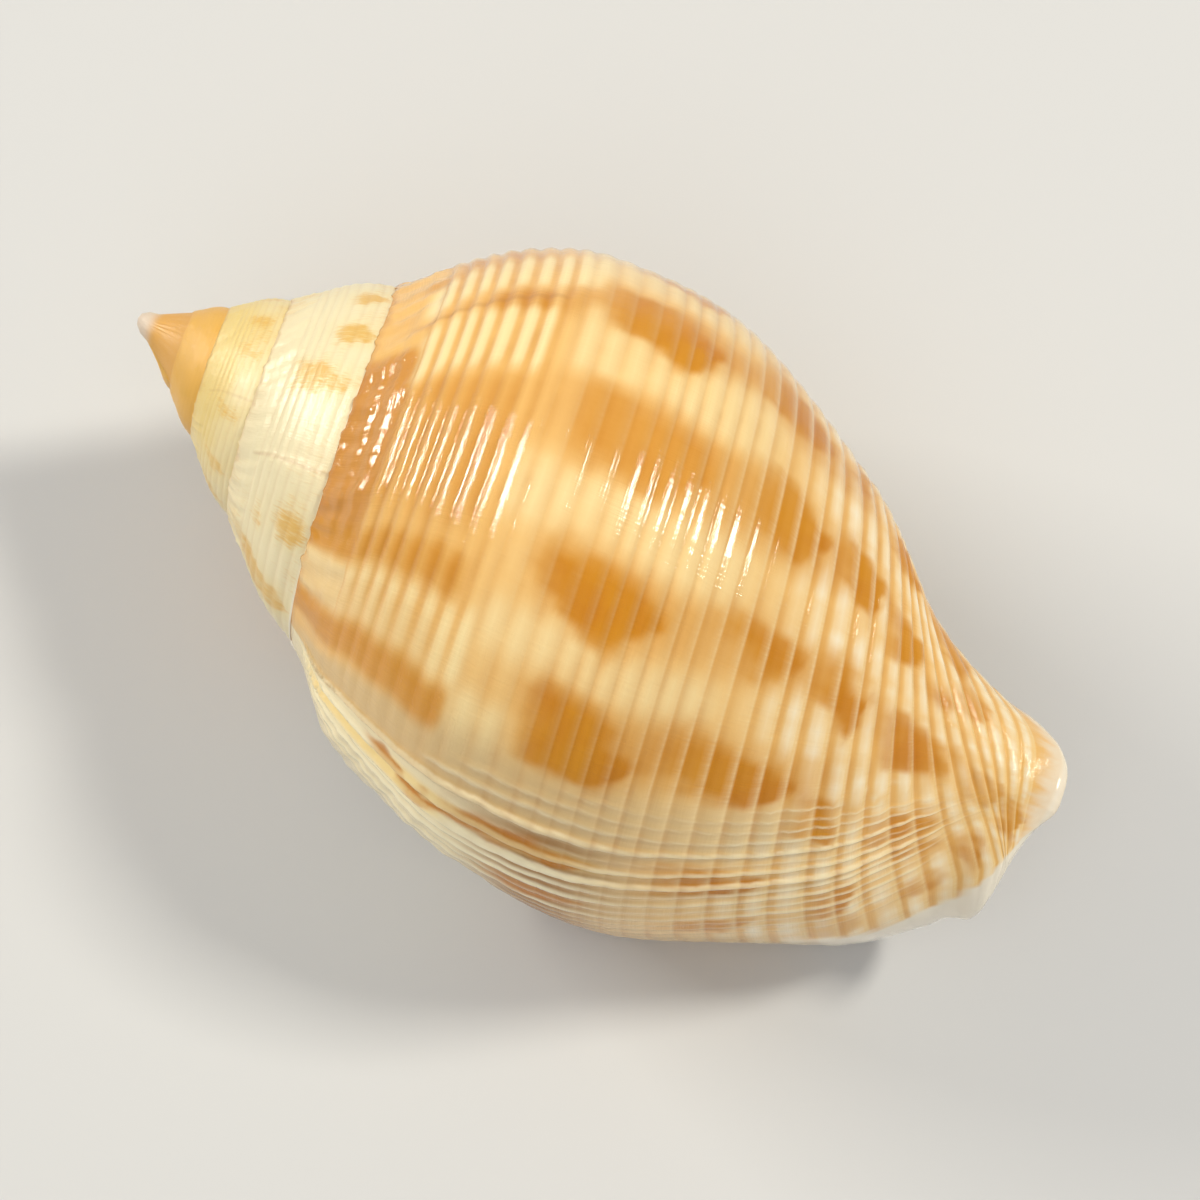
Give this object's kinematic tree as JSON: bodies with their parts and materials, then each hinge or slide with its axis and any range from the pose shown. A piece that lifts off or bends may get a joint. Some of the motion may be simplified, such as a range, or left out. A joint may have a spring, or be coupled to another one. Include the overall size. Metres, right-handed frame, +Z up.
{
  "type": "bonnet shell",
  "caption": "Coiled sea-snail shell with a low spire, spiral cords, a thick ridged lip and an upturned canal, lying on its open side.",
  "frame": {"origin": "middle of the shell's length and width, on the surface that it rests on", "axes": "+X from the point of the spire to the canal, +Y away from the outer lip, +Z up through the shell's back"},
  "size_m": [0.0596, 0.0358, 0.0315],
  "materials": {
    "shell": "gloss"
  },
  "bodies": {
    "root": {"shell": "shell"}
  },
  "joints": []
}
